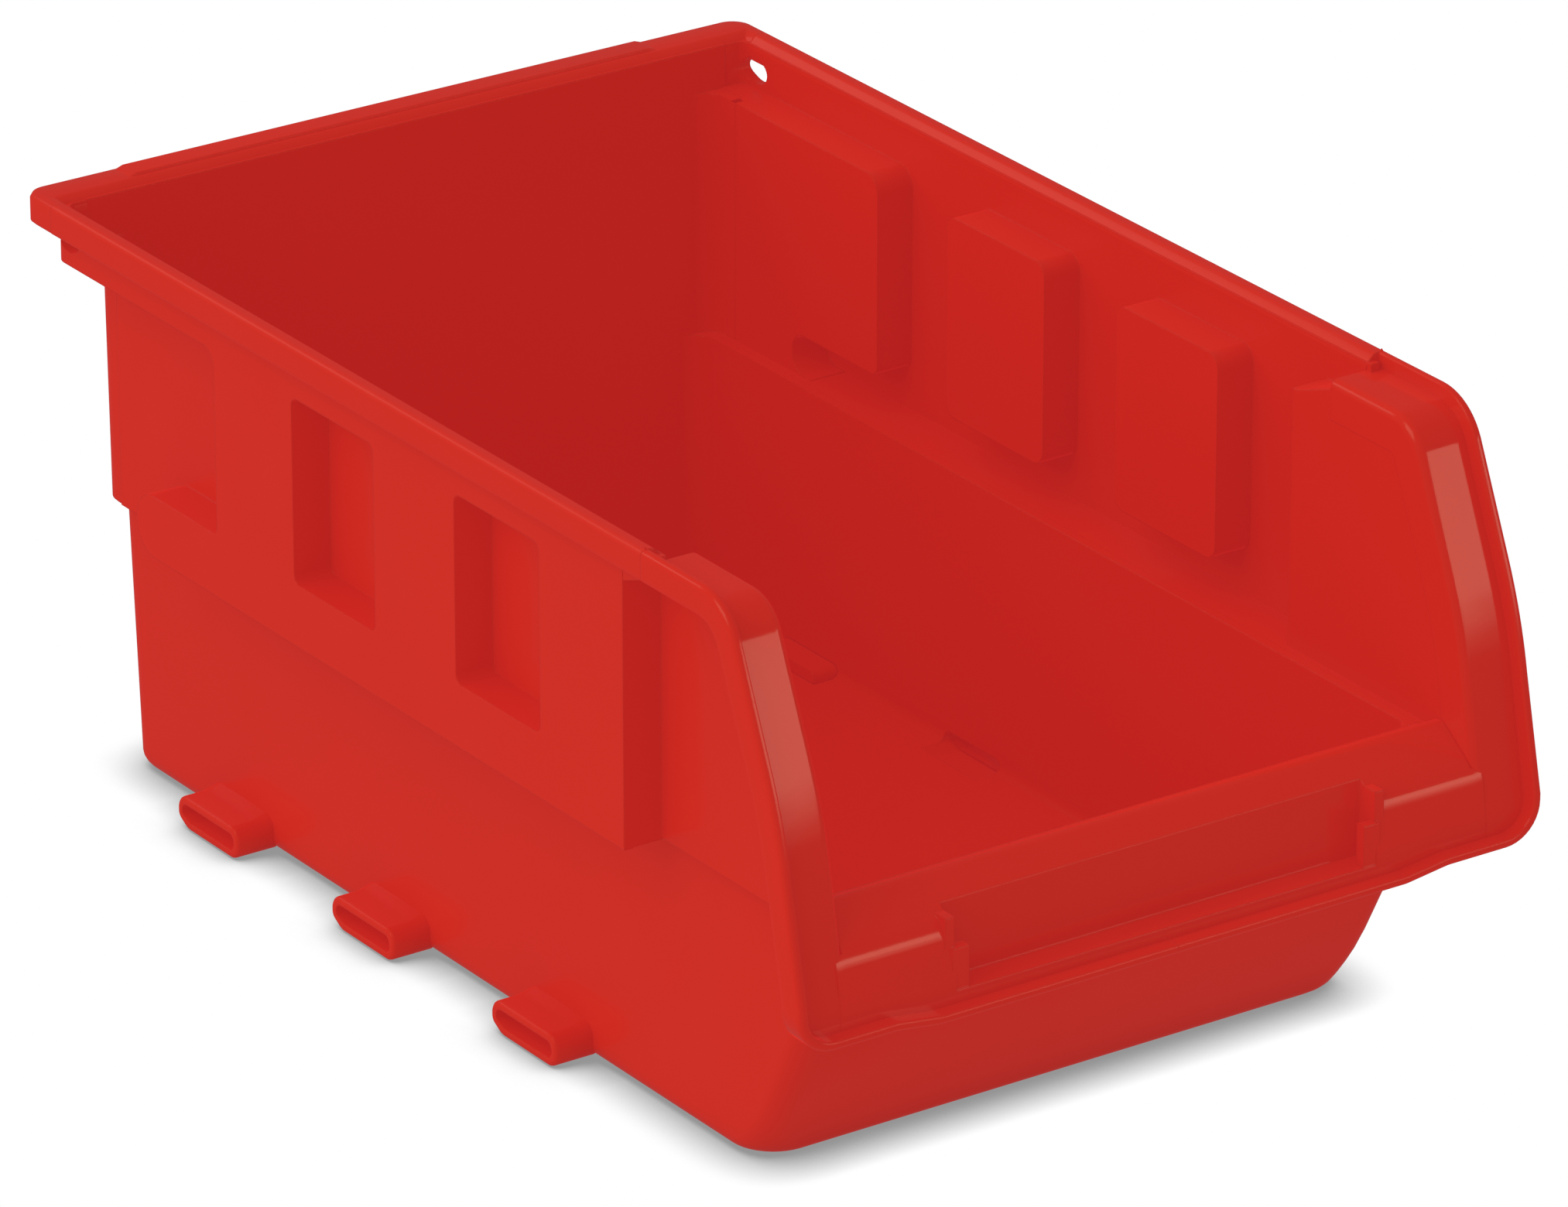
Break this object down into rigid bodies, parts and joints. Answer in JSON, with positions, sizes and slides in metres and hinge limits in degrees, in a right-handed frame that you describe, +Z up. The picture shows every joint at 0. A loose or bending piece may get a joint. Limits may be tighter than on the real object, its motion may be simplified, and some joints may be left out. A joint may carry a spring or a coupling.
{
  "type": "storage bin",
  "caption": "Open-front stackable storage bin in red plastic, with stepped sides, a turned-down rim, front flanges and a framed label panel.",
  "frame": {"origin": "middle of the footprint on the surface that the bin stands on", "axes": "-Y is the open front, +Y the rear wall, +Z up, +X the right-hand side seen from behind the front looking in from -Y"},
  "size_m": [0.105, 0.166, 0.0765],
  "materials": {
    "body_plastic": "moulded, semi-gloss",
    "rim_plastic": "moulded, semi-gloss",
    "front_plastic": "moulded, gloss"
  },
  "bodies": {
    "root": {"bow_left": "front_plastic", "bow_right": "front_plastic", "cheek_left": "body_plastic", "cheek_right": "body_plastic", "floor_pan": "body_plastic", "label_panel": "front_plastic", "lug_1_left": "body_plastic", "lug_1_right": "body_plastic", "lug_2_left": "body_plastic", "lug_2_right": "body_plastic", "lug_3_left": "body_plastic", "lug_3_right": "body_plastic", "rim_left": "rim_plastic", "rim_rear": "rim_plastic", "rim_right": "rim_plastic", "wall_lower_front": "body_plastic", "wall_lower_left": "body_plastic", "wall_lower_rear": "body_plastic", "wall_lower_right": "body_plastic", "wall_upper_left": "body_plastic", "wall_upper_rear": "body_plastic", "wall_upper_right": "body_plastic"}
  },
  "joints": []
}
